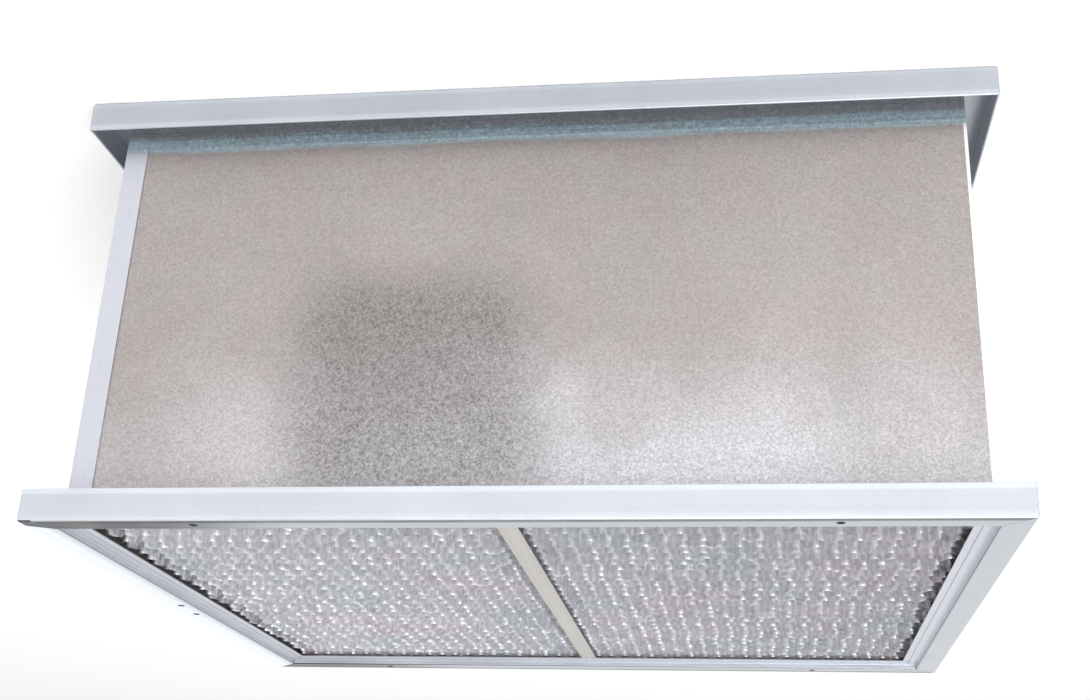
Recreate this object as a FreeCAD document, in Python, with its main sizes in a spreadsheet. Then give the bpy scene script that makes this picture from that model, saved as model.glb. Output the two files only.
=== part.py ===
"""Rigid box air filter with a header frame round each face.

Frame: X is the long side, Y runs from the front panel (-Y) to the rear panel (+Y), Z is the depth
of the cell from the lower header face (z = 0) to the upper header face. Millimetres.
"""
import FreeCAD, Part
import math
import os

import Sketcher

Vector = FreeCAD.Vector
Rotation = FreeCAD.Rotation

# name, value, meaning
DRIVING_SIZES = [
    ("width", 593.7, "overall X, over the header frames"),
    ("breadth", 492.1, "overall Y, over the header frames"),
    ("height", 292.1, "overall Z, header face to header face"),
    ("sheet", 0.8, "steel sheet of panels, rails and straps"),
    ("bend_in", 0.4, "inside radius of a bend"),
    ("overhang", 19.05, "header edge to the outer face of a panel"),
    ("header_drop", 20.6, "length of the header's outer return"),
    ("step_setback", 0.85, "outer face of a panel to the header's step"),
    ("step_depth", 4.0, "header face down to the top of its foot"),
    ("foot_setback", 5.05, "lip edge to the edge of the header's foot"),
    ("hem_width", 7.0, "folded hem at the return's free edge"),
    ("hem_round", 0.7, "radius at the folded edge of the hem"),
    ("mitre_gap", 0.25, "opening at each rail end in a mitre"),
    ("hole_dia", 5.0, "fixing hole in a header face"),
    ("hole_inset", 9.5, "header edge to the centre of a hole"),
    ("hole_pitch", 380.0, "between the two holes of a long rail"),
    ("tag_pitch", 30.0, "between the two holes of a short rail"),
    ("lip_width", 11.0, "inward lip of a panel, from its outer face"),
    ("flange_width", 15.5, "corner flange that laps the next panel"),
    ("flange_relief", 1.5, "panel end to the end of its flange"),
    ("flange_chamfer", 10.0, "cut corner of a flange"),
    ("seam_gap", 0.6, "plain panel end to the next panel's inner face"),
    ("strap_width", 12.7, "centre strap"),
    ("strap_offset", 5.5, "centre strap off the middle, towards +X"),
    ("strap_setback", 1.2, "inner face of a panel to the strap's end"),
    ("rivet_dia", 3.2, "rivet shank"),
    ("rivet_head", 4.4, "rivet head diameter at the lip"),
    ("rivet_crown", 2.9, "rivet head diameter at its top"),
    ("rivet_tail", 4.0, "rivet tail diameter"),
    ("head_rise", 1.0, "rivet head height"),
    ("tail_rise", 0.8, "rivet tail height"),
    ("rivet_inset", 2.4, "lip edge to a rivet's centre"),
    ("glue_bed", 0.5, "adhesive between the end leaves and a panel"),
    ("potting", 4.0, "sealant between the pleat ends and a panel"),
    ("potting_inset", 2.0, "panel lip to the sealant"),
    ("media", 0.6, "filter paper thickness"),
    ("pleat_pitch", 15.0, "target pitch of the pleats along Y"),
    ("foil", 0.3, "separator foil thickness"),
    ("foil_play", 0.1, "foil to paper on each side"),
    ("wave_pitch", 11.4, "pitch of the corrugation along X"),
    ("pack_play", 0.1, "rivet tail to the separators' edges"),
    ("foil_stand", 4.5, "separator edge standing proud of the folds"),
    ("foil_floor", 1.0, "separator's hidden edge to the fold below it"),
    ("foil_inset", 11.0, "least distance from a panel to a separator end"),
    ("foil_stagger", 0.8, "step of the uneven separator ends"),
]

GROUP_SIZE = 6          # separators in one node
STAGGER_STEPS = 5       # different end positions before the pattern comes again

doc = FreeCAD.newDocument("HeaderFilter")
sheet = doc.addObject("Spreadsheet::Sheet", "Sizes")
for row, (alias, value, meaning) in enumerate(DRIVING_SIZES, start=1):
    sheet.set("A%d" % row, meaning)
    sheet.set("B%d" % row, str(value))
    sheet.setAlias("B%d" % row, alias)
doc.recompute()

ALIASES = [alias for alias, value, meaning in DRIVING_SIZES]
subparts = []


def bound(words):
    """An expression on the sheet: every driving size in it gets the sheet's name in front."""
    out = []
    word = ""
    for letter in words + " ":
        if letter.isalnum() or letter == "_":
            word += letter
            continue
        out.append("Sizes." + word if word in ALIASES else word)
        out.append(letter)
        word = ""
    return "".join(out).strip()


def value_of(words):
    """The number that an expression on the sheet gives now."""
    return float(sheet.evalExpression(words))


# ---- expressions used by more than one piece -------------------------------------------------
OUTER_X = "(width - 2 * overhang)"
OUTER_Y = "(breadth - 2 * overhang)"
LIP_TOP = "(step_depth + sheet)"
PANEL_HEIGHT = "(height - 2 * step_depth - 2 * sheet)"
STRAP_FACE = "(step_depth + 2 * sheet)"
INNER_X = "(width / 2 - overhang - sheet)"
INNER_Y = "(breadth / 2 - overhang - sheet)"
END_PLAY = "(sheet + seam_gap)"
FACE_WIDTH = "(overhang - step_setback)"
FOOT_REACH = "(overhang + lip_width - foot_setback)"


# ---- helpers ---------------------------------------------------------------------------------
def new_body(name):
    body = doc.addObject("PartDesign::Body", name)
    body.Label = name
    subparts.append(body)
    return body


def new_sketch(body, name, role):
    sketch = body.newObject("Sketcher::SketchObject", body.Name + "_" + name)
    planes = [plane for plane in body.Origin.OriginFeatures if plane.Role == role]
    sketch.AttachmentSupport = (planes[0], [""])
    sketch.MapMode = "FlatFace"
    return sketch


def tie_point(sketch, edge, end, x_words, y_words):
    """Tie one end of an edge to the sketch's origin by two named sizes."""
    for kind, words in (("DistanceX", x_words), ("DistanceY", y_words)):
        constraint = Sketcher.Constraint(kind, -1, 1, edge, end, value_of(words))
        index = sketch.addConstraint(constraint)
        sketch.setExpression("Constraints[%d]" % index, bound(words))


def outline(sketch, corners, arcs=None):
    """A closed outline through corners given as pairs of expressions.

    An edge is straight, or an arc where arcs gives its radius and the middle of its circle.
    """
    arcs = arcs or {}
    first = sketch.GeometryCount
    points = [Vector(value_of(x), value_of(y), 0) for x, y in corners]
    count = len(points)
    ends = []
    for i in range(count):
        start, finish = points[i], points[(i + 1) % count]
        if i not in arcs:
            sketch.addGeometry(Part.LineSegment(start, finish), False)
            ends.append((1, 2))
            continue
        radius, x, y = (value_of(words) for words in arcs[i])
        middle = Vector(x, y, 0)
        leftward = (start - middle).cross(finish - middle).z > 0
        ends.append((1, 2) if leftward else (2, 1))
        spokes = [point - middle for point in (start, finish)]
        angles = [math.atan2(spoke.y, spoke.x) for spoke in (spokes if leftward else spokes[::-1])]
        if angles[1] < angles[0]:
            angles[1] += 2 * math.pi
        round_edge = Part.Circle(middle, Vector(0, 0, 1), radius)
        sketch.addGeometry(Part.ArcOfCircle(round_edge, *angles), False)
        index = sketch.addConstraint(Sketcher.Constraint("Radius", first + i, radius))
        sketch.setExpression("Constraints[%d]" % index, bound(arcs[i][0]))
    for i in range(count):
        after = (i + 1) % count
        joined = (first + i, ends[i][1], first + after, ends[after][0])
        sketch.addConstraint(Sketcher.Constraint("Coincident", *joined))
        tie_point(sketch, first + i, ends[i][0], *corners[i])


def circle(sketch, x_words, y_words, diameter_words):
    centre = Vector(value_of(x_words), value_of(y_words), 0)
    radius = value_of(diameter_words) / 2
    edge = sketch.addGeometry(Part.Circle(centre, Vector(0, 0, 1), radius), False)
    tie_point(sketch, edge, 3, x_words, y_words)
    index = sketch.addConstraint(Sketcher.Constraint("Diameter", edge, 2 * radius))
    sketch.setExpression("Constraints[%d]" % index, bound(diameter_words))


def pad(body, name, sketch, length_words, side="One side"):
    feature = body.newObject("PartDesign::Pad", body.Name + "_" + name)
    feature.Profile = sketch
    feature.SideType = side
    feature.setExpression("Length", bound(length_words))
    doc.recompute()
    return feature


def pocket(body, name, sketch, depth_words=""):
    """Cut forward from the sketch, through everything or to a depth, and see that it cuts."""
    before = body.Shape.Volume
    feature = body.newObject("PartDesign::Pocket", body.Name + "_" + name)
    feature.Profile = sketch
    feature.Reversed = True
    if depth_words:
        feature.setExpression("Length", bound(depth_words))
    else:
        feature.Type = "ThroughAll"
    doc.recompute()
    if feature.Shape.Volume >= before:
        raise RuntimeError(body.Name + "_" + name + " cuts nothing")
    return feature


def fillet(body, name, base, radius_words, direction, places):
    """Round, at each place, the longest straight edge that runs along a direction there."""
    axis = (Vector(1, 0, 0), Vector(0, 1, 0), Vector(0, 0, 1)).index(direction)
    across = [i for i in range(3) if i != axis]
    names = []
    for place_words in places:
        goal = [value_of(words) for words in place_words]
        best = (0, "")
        for number, edge in enumerate(base.Shape.Edges, start=1):
            if len(edge.Vertexes) < 2:
                continue
            start, end = (vertex.Point for vertex in edge.Vertexes)
            if (end - start).normalize().cross(direction).Length > 1e-6:
                continue
            if all(abs(start[i] - aim) < 1e-4 for i, aim in zip(across, goal)):
                best = max(best, (edge.Length, "Edge%d" % number))
        if not best[1]:
            raise RuntimeError("%s_%s finds no edge at %s" % (body.Name, name, place_words))
        names.append(best[1])
    feature = body.newObject("PartDesign::Fillet", body.Name + "_" + name)
    feature.Base = (base, names)
    feature.setExpression("Radius", bound(radius_words))
    doc.recompute()
    return feature


def place(thing, x_words, y_words, z_words, rotation=Rotation()):
    """Put a sub-part in the object: its turn, and its base bound to the sheet."""
    thing.Placement = FreeCAD.Placement(Vector(0, 0, 0), rotation)
    for axis, words in zip("xyz", (x_words, y_words, z_words)):
        thing.setExpression("Placement.Base." + axis, bound(words))


QUARTER = Rotation(Vector(0, 0, 1), 90)
HALF = Rotation(Vector(0, 0, 1), 180)
THREE_QUARTER = Rotation(Vector(0, 0, 1), 270)
FLIP = Rotation(Vector(1, 0, 0), 180)


# ---- header rails ----------------------------------------------------------------------------
def header_rail(name, length, holes):
    """One mitred rail. Locally X runs along it, Y inward from its edge, Z away from its face.

    The section is an outer return with a folded hem, the flat face, a step and a foot that
    lies on the panels' lips.
    """
    body = new_body(name)
    section = new_sketch(body, "section", "YZ_Plane")
    outline(section, [
        ("0", "header_drop"),
        ("0", "0"),
        (FACE_WIDTH, "0"),
        (FACE_WIDTH, "step_depth"),
        (FOOT_REACH, "step_depth"),
        (FOOT_REACH, LIP_TOP),
        (FACE_WIDTH + " - sheet", LIP_TOP),
        (FACE_WIDTH + " - sheet", "sheet"),
        ("sheet", "sheet"),
        ("sheet", "header_drop - hem_width"),
        ("2 * sheet", "header_drop - hem_width"),
        ("2 * sheet", "header_drop"),
    ])
    rail = pad(body, "rail", section, length, "Symmetric")
    along = Vector(1, 0, 0)
    bends = fillet(body, "outer_bends", rail, "bend_in + sheet", along, [
        ("0", "0"),
        (FACE_WIDTH, "0"),
        (FACE_WIDTH + " - sheet", LIP_TOP),
    ])
    bends = fillet(body, "inner_bends", bends, "bend_in", along, [
        ("sheet", "sheet"),
        (FACE_WIDTH + " - sheet", "sheet"),
        (FACE_WIDTH, "step_depth"),
    ])
    fillet(body, "hem_fold", bends, "hem_round", along, [
        ("0", "header_drop"),
        ("2 * sheet", "header_drop"),
    ])
    mitres = new_sketch(body, "mitres", "XY_Plane")
    beyond = "(%s + sheet)" % FOOT_REACH
    for sign in ("", "-"):
        outline(mitres, [
            (sign + "(%s / 2 - mitre_gap + sheet)" % length, "0 - sheet"),
            (sign + "(%s / 2 - mitre_gap - %s)" % (length, beyond), beyond),
            (sign + "(%s / 2 + sheet)" % length, beyond),
        ])
    pocket(body, "mitre_cuts", mitres)
    if holes:
        punched = new_sketch(body, "hole_places", "XY_Plane")
        for sign in ("", "-"):
            circle(punched, sign + holes + " / 2", "hole_inset", "hole_dia")
        pocket(body, "holes", punched)
    return body


RAILS = [
    # side, length, hole spacing, turn, x, y
    ("front", "width", "hole_pitch", Rotation(), "0", "0 - breadth / 2"),
    ("rear", "width", "hole_pitch", HALF, "0", "breadth / 2"),
    ("left", "breadth", "", THREE_QUARTER, "0 - width / 2", "0"),
    ("right", "breadth", "tag_pitch", QUARTER, "width / 2", "0"),
]
for side, length, holes, turn, x, y in RAILS:
    place(header_rail("lower_header_" + side, length, holes), x, y, "0", turn)
    flipped_y = "0 - (%s)" % y
    far_side = {"front": "rear", "rear": "front"}.get(side, side)
    place(header_rail("upper_header_" + far_side, length, holes), x, flipped_y, "height",
          FLIP.multiply(turn))


# ---- cell panels -----------------------------------------------------------------------------
def cell_panel(name, span):
    """One folded panel. Locally X runs along it, Y inward from its outer face, Z up.

    A lip is folded inward at its top and its bottom. At -X a flange is folded round the end of
    the next panel and laps its outer face; the other end is plain.
    """
    body = new_body(name)
    section = new_sketch(body, "section", "YZ_Plane")
    outline(section, [
        ("0", "0"),
        ("lip_width", "0"),
        ("lip_width", "sheet"),
        ("sheet", "sheet"),
        ("sheet", PANEL_HEIGHT + " - sheet"),
        ("lip_width", PANEL_HEIGHT + " - sheet"),
        ("lip_width", PANEL_HEIGHT),
        ("0", PANEL_HEIGHT),
    ])
    section.setExpression("AttachmentOffset.Base.z", bound("0 - %s / 2 + bend_in" % span))
    web = pad(body, "web", section, "%s - bend_in - %s" % (span, END_PLAY))
    along = Vector(1, 0, 0)
    bends = fillet(body, "outer_bends", web, "bend_in + sheet", along, [
        ("0", "0"),
        ("0", PANEL_HEIGHT),
    ])
    fillet(body, "inner_bends", bends, "bend_in", along, [
        ("sheet", "sheet"),
        ("sheet", PANEL_HEIGHT + " - sheet"),
    ])
    mitres = new_sketch(body, "mitres", "XY_Plane")
    for sign in ("", "-"):
        outline(mitres, [
            (sign + "(%s / 2 - %s - mitre_gap)" % (span, END_PLAY), END_PLAY),
            (sign + "(%s / 2 - mitre_gap - lip_width - sheet)" % span, "lip_width + sheet"),
            (sign + "(%s / 2 + sheet)" % span, "lip_width + sheet"),
            (sign + "(%s / 2 + sheet)" % span, END_PLAY),
        ])
    pocket(body, "mitre_cuts", mitres)
    inner_end = "0 - %s / 2" % span
    bend_end = inner_end + " + bend_in"
    outer_end = inner_end + " - sheet"
    fold = new_sketch(body, "flange_section", "XY_Plane")
    outline(fold, [
        (bend_end, "0"),
        (outer_end, "bend_in + sheet"),
        (outer_end, "flange_width"),
        (inner_end, "flange_width"),
        (inner_end, "bend_in + sheet"),
        (bend_end, "sheet"),
    ], arcs={
        0: ("bend_in + sheet", bend_end, "bend_in + sheet"),
        4: ("bend_in", bend_end, "bend_in + sheet"),
    })
    fold.setExpression("AttachmentOffset.Base.z", bound("flange_relief"))
    pad(body, "flange", fold, PANEL_HEIGHT + " - 2 * flange_relief")
    corners = new_sketch(body, "flange_corners", "YZ_Plane")
    ends = (("flange_relief", "+"), (PANEL_HEIGHT + " - flange_relief", "-"))
    for end, inward in ends:
        level = end + (" - sheet" if inward == "+" else " + sheet")
        outline(corners, [
            ("flange_width - flange_chamfer - sheet", level),
            ("flange_width + sheet", level),
            ("flange_width + sheet", "%s %s (flange_chamfer + sheet)" % (end, inward)),
        ])
    corners.setExpression("AttachmentOffset.Base.z", bound(outer_end + " - sheet"))
    pocket(body, "cut_corners", corners, "3 * sheet")
    return body


PANELS = [
    # name, span over the neighbours' outer faces, turn, x, y
    ("front_panel", OUTER_X, Rotation(), "0", "0 - %s / 2" % OUTER_Y),
    ("rear_panel", OUTER_X, HALF, "0", "%s / 2" % OUTER_Y),
    ("left_panel", OUTER_Y, THREE_QUARTER, "0 - %s / 2" % OUTER_X, "0"),
    ("right_panel", OUTER_Y, QUARTER, "%s / 2" % OUTER_X, "0"),
]
for name, span, turn, x, y in PANELS:
    place(cell_panel(name, span), x, y, LIP_TOP, turn)


# ---- centre straps and their rivets ----------------------------------------------------------
STRAP_SPAN = "(2 * %s - 2 * strap_setback)" % INNER_Y
RIVET_Y = "(%s / 2 - lip_width + rivet_inset)" % OUTER_Y


def centre_strap(name):
    """A flat strap across the face, under the front and rear lips, with a hole at each end."""
    body = new_body(name)
    blank = new_sketch(body, "blank", "XY_Plane")
    outline(blank, [
        ("0 - strap_width / 2", "0 - %s / 2" % STRAP_SPAN),
        ("strap_width / 2", "0 - %s / 2" % STRAP_SPAN),
        ("strap_width / 2", "%s / 2" % STRAP_SPAN),
        ("0 - strap_width / 2", "%s / 2" % STRAP_SPAN),
    ])
    pad(body, "strap", blank, "sheet")
    punched = new_sketch(body, "hole_places", "XY_Plane")
    for sign in ("", "-"):
        circle(punched, "0", sign + RIVET_Y, "rivet_dia")
    pocket(body, "holes", punched)
    return body


place(centre_strap("lower_centre_strap"), "strap_offset", "0", STRAP_FACE)
place(centre_strap("upper_centre_strap"), "strap_offset", "0", "height - %s" % STRAP_FACE, FLIP)

for name in ("front_panel", "rear_panel"):
    panel = doc.getObject(name)
    to_strap = "strap_offset" if name == "front_panel" else "0 - strap_offset"
    punched = new_sketch(panel, "rivet_places", "XY_Plane")
    circle(punched, to_strap, "lip_width - rivet_inset", "rivet_dia")
    pocket(panel, "rivet_holes", punched)


def turned(kind, name, sizes, height_words):
    solid = doc.addObject(kind, name)
    for field, words in sizes.items():
        solid.setExpression(field, bound(words))
    solid.setExpression("Placement.Base.z", bound(height_words))
    return solid


def strap_rivets(name, face_words, turn):
    """Two rivets through lip and strap. Locally Z runs inward from the header face."""
    rivets = []
    for end, sign in (("front", "-"), ("rear", "")):
        stem = "%s_%s" % (name, end)
        head = turned("Part::Cone", stem + "_head", {
            "Radius1": "rivet_crown / 2", "Radius2": "rivet_head / 2", "Height": "head_rise",
        }, LIP_TOP + " - head_rise")
        shank = turned("Part::Cylinder", stem + "_shank", {
            "Radius": "rivet_dia / 2", "Height": "2 * sheet",
        }, LIP_TOP)
        tail = turned("Part::Cylinder", stem + "_tail", {
            "Radius": "rivet_tail / 2", "Height": "tail_rise",
        }, LIP_TOP + " + 2 * sheet")
        rivet = doc.addObject("Part::MultiFuse", stem)
        rivet.Shapes = [head, shank, tail]
        rivet.Refine = True
        rivet.setExpression("Placement.Base.y", bound(sign + RIVET_Y))
        rivets.append(rivet)
    pair = doc.addObject("Part::Compound", name)
    pair.Label = name
    pair.Links = rivets
    place(pair, "strap_offset", "0", face_words, turn)
    subparts.append(pair)


strap_rivets("lower_strap_rivets", "0", Rotation())
strap_rivets("upper_strap_rivets", "height", FLIP)


# ---- adhesive and sealant --------------------------------------------------------------------
FOIL_EDGE = "(%s + sheet + tail_rise + pack_play)" % STRAP_FACE
FOLD_TOP = "(%s + foil_stand)" % FOIL_EDGE
SEALANT_END = "(%s + sheet + potting_inset)" % LIP_TOP


def slab(name, x_size, y_size, z_size, x, y, z):
    box = doc.addObject("Part::Box", name)
    box.Label = name
    for field, words in (("Length", x_size), ("Width", y_size), ("Height", z_size)):
        box.setExpression(field, bound(words))
    place(box, x, y, z)
    subparts.append(box)


SEALANT_TALL = "height - 2 * " + SEALANT_END
slab("left_end_sealant", "potting", "2 * " + INNER_Y, SEALANT_TALL,
     "0 - " + INNER_X, "0 - " + INNER_Y, SEALANT_END)
slab("right_end_sealant", "potting", "2 * " + INNER_Y, SEALANT_TALL,
     INNER_X + " - potting", "0 - " + INNER_Y, SEALANT_END)

PLEAT_REACH = "(%s - potting)" % INNER_X
LEAF_END = "(%s + media + pleat_pitch / 4)" % FOLD_TOP
GLUE_TALL = "height - 2 * " + LEAF_END
slab("front_adhesive", "2 * " + PLEAT_REACH, "glue_bed", GLUE_TALL,
     "0 - " + PLEAT_REACH, "0 - " + INNER_Y, LEAF_END)
slab("rear_adhesive", "2 * " + PLEAT_REACH, "glue_bed", GLUE_TALL,
     "0 - " + PLEAT_REACH, INNER_Y + " - glue_bed", LEAF_END)


# ---- pleated paper ---------------------------------------------------------------------------
paper = value_of("media")
first_leaf = value_of("glue_bed + media / 2 - " + INNER_Y)
pack_length = -2 * first_leaf
pleats = max(2, round(pack_length / value_of("pleat_pitch")))
cells = 2 * pleats
cell_pitch = pack_length / cells
fold_low = value_of(FOLD_TOP)
fold_high = value_of("height - " + FOLD_TOP)
fold_radius = cell_pitch / 2


def pleated_wire(offset, ends):
    """One side of the paper as a line in the YZ plane, offset from its middle."""
    edges = []
    low = fold_low + paper / 2 + fold_radius
    high = fold_high - paper / 2 - fold_radius
    for leaf in range(cells + 1):
        y = first_leaf + leaf * cell_pitch
        rising = leaf % 2 == 0
        side = y + (offset if rising else -offset)
        span = [Vector(0, side, low), Vector(0, side, high)]
        if not rising:
            span.reverse()
        edges.append(Part.LineSegment(*span))
        if leaf == cells:
            break
        middle = y + fold_radius
        radius = fold_radius + (-offset if rising else offset)
        level = high if rising else low
        crown = level + (radius if rising else -radius)
        start = Vector(0, middle - radius, level)
        end = Vector(0, middle + radius, level)
        edges.append(Part.Arc(start, Vector(0, middle, crown), end))
    ends.append((edges[0].StartPoint, edges[-1].EndPoint))
    return [edge.toShape() for edge in edges]


# The first leaf lies on the front panel and rises, so its first fold is at the top.
ends = []
one_side = pleated_wire(-paper / 2, ends)
other_side = pleated_wire(paper / 2, ends)
caps = [Part.LineSegment(ends[0][i], ends[1][i]).toShape() for i in (0, 1)]
loop = Part.Wire(Part.__sortEdges__(one_side + other_side + caps))
reach = value_of(PLEAT_REACH)
pleated = doc.addObject("Part::Feature", "pleated_media")
pleated.Label = "pleated_media"
pleated.Shape = Part.Face(loop).extrude(Vector(2 * reach, 0, 0))
pleated.Placement = FreeCAD.Placement(Vector(-reach, 0, 0), Rotation())
subparts.append(pleated)


# ---- corrugated separators -------------------------------------------------------------------
foil = value_of("foil")
wave_height = cell_pitch - paper - foil - 2 * value_of("foil_play")
foil_reach = value_of(INNER_X + " - foil_inset - 2 * foil_stagger")
waves = int(2 * foil_reach / value_of("wave_pitch"))
foil_half = waves * value_of("wave_pitch") / 2


def corrugated(y, x_shift, low, high):
    """A foil whose waves run along X, standing from one level to another."""
    crests = []
    for step in range(2 * waves + 1):
        x = x_shift - foil_half + foil_half * step / waves
        side = 1 if step % 2 else -1
        crests.append(Vector(x, y - foil / 2 + side * wave_height / 2, low))
    thickness = Vector(0, foil, 0)
    back = [crest + thickness for crest in reversed(crests)]
    zigzag = Part.makePolygon(crests + back + crests[:1])
    return Part.Face(zigzag).extrude(Vector(0, 0, high - low))


foil_open = value_of(FOIL_EDGE)
foil_shut = fold_low + paper + fold_radius + value_of("foil_floor")
total = value_of("height")
stagger = value_of("foil_stagger")


def separator_groups(name, first_cell, low, high):
    """The foils of every second cell, from one cell on, in nodes of a few foils each."""
    foils = []
    for number, cell in enumerate(range(first_cell, cells, 2)):
        y = first_leaf + (cell + 0.5) * cell_pitch
        shift = ((2 * number) % STAGGER_STEPS - STAGGER_STEPS // 2) * stagger
        foils.append(corrugated(y, shift, low, high))
    groups = math.ceil(len(foils) / GROUP_SIZE)
    for group in range(groups):
        node = doc.addObject("Part::Feature", "%s_%d" % (name, group + 1))
        node.Label = node.Name
        node.Shape = Part.makeCompound(foils[group * GROUP_SIZE:(group + 1) * GROUP_SIZE])
        subparts.append(node)


separator_groups("lower_separators", 0, foil_open, total - foil_shut)
separator_groups("upper_separators", 1, foil_shut, total - foil_open)


# ---- check and write -------------------------------------------------------------------------
doc.recompute()
for thing in doc.Objects:
    if "Invalid" in thing.State or "Error" in thing.State:
        raise RuntimeError("%s is %s" % (thing.Name, thing.State))
for part in subparts:
    if part.Shape.isNull() or not part.Shape.isValid():
        raise RuntimeError("%s has no valid shape" % part.Label)

os.makedirs("parts", exist_ok=True)
for part in subparts:
    part.Shape.exportStep("parts/%s.step" % part.Label)
print("%d sub-parts, %d pleats of %.2f mm" % (len(subparts), pleats, 2 * cell_pitch))
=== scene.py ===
"""Rigid box air filter: foil separators, rivets, sealant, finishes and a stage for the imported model.

Metres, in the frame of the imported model: X is the long side, Y runs from the front panel to the rear
panel, and Z from the lower header face on the floor to the upper header face.
"""
import math
import random

import bmesh
import bpy
from bpy.props import FloatProperty, FloatVectorProperty, IntProperty, PointerProperty
from mathutils import Matrix, Vector, noise


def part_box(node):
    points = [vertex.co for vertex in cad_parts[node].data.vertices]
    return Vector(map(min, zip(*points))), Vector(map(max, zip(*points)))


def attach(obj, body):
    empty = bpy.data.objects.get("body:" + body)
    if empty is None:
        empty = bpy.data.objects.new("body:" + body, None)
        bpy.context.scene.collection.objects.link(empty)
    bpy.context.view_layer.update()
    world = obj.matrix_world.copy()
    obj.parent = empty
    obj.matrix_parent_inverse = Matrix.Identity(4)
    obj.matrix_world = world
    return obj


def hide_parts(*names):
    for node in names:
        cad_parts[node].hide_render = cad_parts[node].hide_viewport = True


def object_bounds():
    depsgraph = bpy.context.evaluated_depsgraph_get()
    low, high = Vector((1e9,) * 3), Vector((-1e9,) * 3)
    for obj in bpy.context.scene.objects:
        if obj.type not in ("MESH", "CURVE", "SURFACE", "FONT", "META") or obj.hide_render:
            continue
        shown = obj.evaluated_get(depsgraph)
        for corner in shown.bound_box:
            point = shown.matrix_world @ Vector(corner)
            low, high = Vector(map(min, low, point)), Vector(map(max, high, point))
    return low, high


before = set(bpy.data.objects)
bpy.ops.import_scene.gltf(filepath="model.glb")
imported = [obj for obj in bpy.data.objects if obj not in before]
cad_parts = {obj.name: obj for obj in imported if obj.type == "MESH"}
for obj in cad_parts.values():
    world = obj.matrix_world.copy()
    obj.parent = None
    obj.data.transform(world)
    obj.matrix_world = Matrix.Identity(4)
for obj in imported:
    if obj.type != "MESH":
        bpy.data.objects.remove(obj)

bl_info = {
    "name": "Rigid Box Air Filter",
    "version": (1, 0, 0),
    "blender": (4, 5, 0),
    "location": "View3D > Sidebar > Filter",
    "description": "Finishes a pleated box filter with foil separators, spangled steel and a stage",
    "category": "Object",
}

CAD_BOX = [list(corner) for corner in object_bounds()]
NODES = sorted(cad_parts)
FACES = ("lower", "upper")


# ---- settings --------------------------------------------------------------------------------
def colour(name, description, default):
    return FloatVectorProperty(name=name, description=description, default=default,
                               subtype="COLOR", size=3, min=0.0, max=1.0)


def length(name, description, default, low=0.0, high=1.0):
    return FloatProperty(name=name, description=description, default=default, min=low, max=high,
                         unit="LENGTH", precision=5)


def share(name, description, default):
    return FloatProperty(name=name, description=description, default=default, min=0.0, max=1.0,
                         subtype="FACTOR")


class FilterSteelSettings(bpy.types.PropertyGroup):
    panel_colour: colour("Panel", "Zinc of the cell panels", (0.385, 0.345, 0.335))
    aged_colour: colour("Aged zinc", "Greenish cast on parts of the panels", (0.36, 0.365, 0.345))
    # painted reflection: colour of the dark patch painted on the front panel
    dark_reflection_colour: colour("Worn zinc", "Darker zinc of the handled patch", (0.150, 0.142, 0.141))
    # painted light: colour of the painted glow toward the upper header
    bright_colour: colour("Bright zinc", "Cleaner zinc toward the upper header", (0.55, 0.545, 0.575))
    # painted reflection and shadow: bluish and brownish colours of the band painted by the lower
    # header
    channel_reflection_colour: colour("Stain", "Bluish zinc beside the lower header", (0.50, 0.635, 0.71))
    channel_shadow_colour: colour("Dull stain", "Brownish zinc in the lower header", (0.44, 0.46, 0.49))
    flange_colour: colour("Flange", "Smooth zinc of the corner flanges", (0.56, 0.57, 0.63))
    # painted highlight: the bright strip along the front panel's rounded -X bend
    bend_highlight_colour: colour("Bend", "Burnished bend at the front panel's left edge",
                        (0.90, 0.90, 0.92))
    bend_highlight_width: length("Bend width", "Width of that burnished bend", 0.0022)
    header_colour: colour("Header", "Smooth zinc of the header rails", (0.53, 0.56, 0.605))
    strap_colour: colour("Strap", "Dull zinc of the centre straps", (0.47, 0.455, 0.435))
    rivet_colour: colour("Rivet", "Aluminium of the rivets", (0.55, 0.58, 0.56))
    # painted shadow: near-black colour painted in the sprung mitre and the punched holes
    gap_shadow_colour: colour("Open mitre", "Depth of the sprung mitre at the front right corner",
                         (0.07, 0.07, 0.10))
    spangle: length("Spangle", "Size of a zinc crystal on the panels", 0.0012, 0.0002, 0.05)
    panel_roughness: share("Panel roughness", "Mean roughness of the panels", 0.46)
    header_roughness: share("Header roughness", "Mean roughness of the header rails", 0.36)
    # painted reflection: place and size of the dark patch painted on the front panel
    patch_place: FloatVectorProperty(
        name="Patch place", description="Middle of the handled patch on the front panel",
        default=(0.066, -0.227, 0.205), subtype="TRANSLATION", size=3, unit="LENGTH")
    patch_reach: length("Patch reach", "Half height of the handled patch", 0.084)
    # painted light: heights where the painted glow toward the upper header begins and peaks
    bright_start: length("Bright start", "Height where the zinc starts to look cleaner", 0.160)
    bright_end: length("Bright end", "Height where the zinc is cleanest", 0.262)
    # painted reflection: top of the band painted by the lower header
    reflection_height: length("Stain height", "Floor to the top of the stain by the header", 0.031)
    rail_face: length("Rail face", "Outer edge of a header rail to its step", 0.0182)
    # painted shadow: radius of the dark disc painted over each punched hole
    hole_radius: length("Hole radius", "Radius of a punched hole, with its burr", 0.0027)
    long_holes: FloatVectorProperty(
        name="Long rail holes", description="Distance of the holes from the middle along X and Y",
        default=(0.190, 0.23655), size=2, unit="LENGTH")
    short_holes: FloatVectorProperty(
        name="Short rail holes", description="Distance of the holes from the middle along X and Y",
        default=(0.28735, 0.015), size=2, unit="LENGTH")


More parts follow.
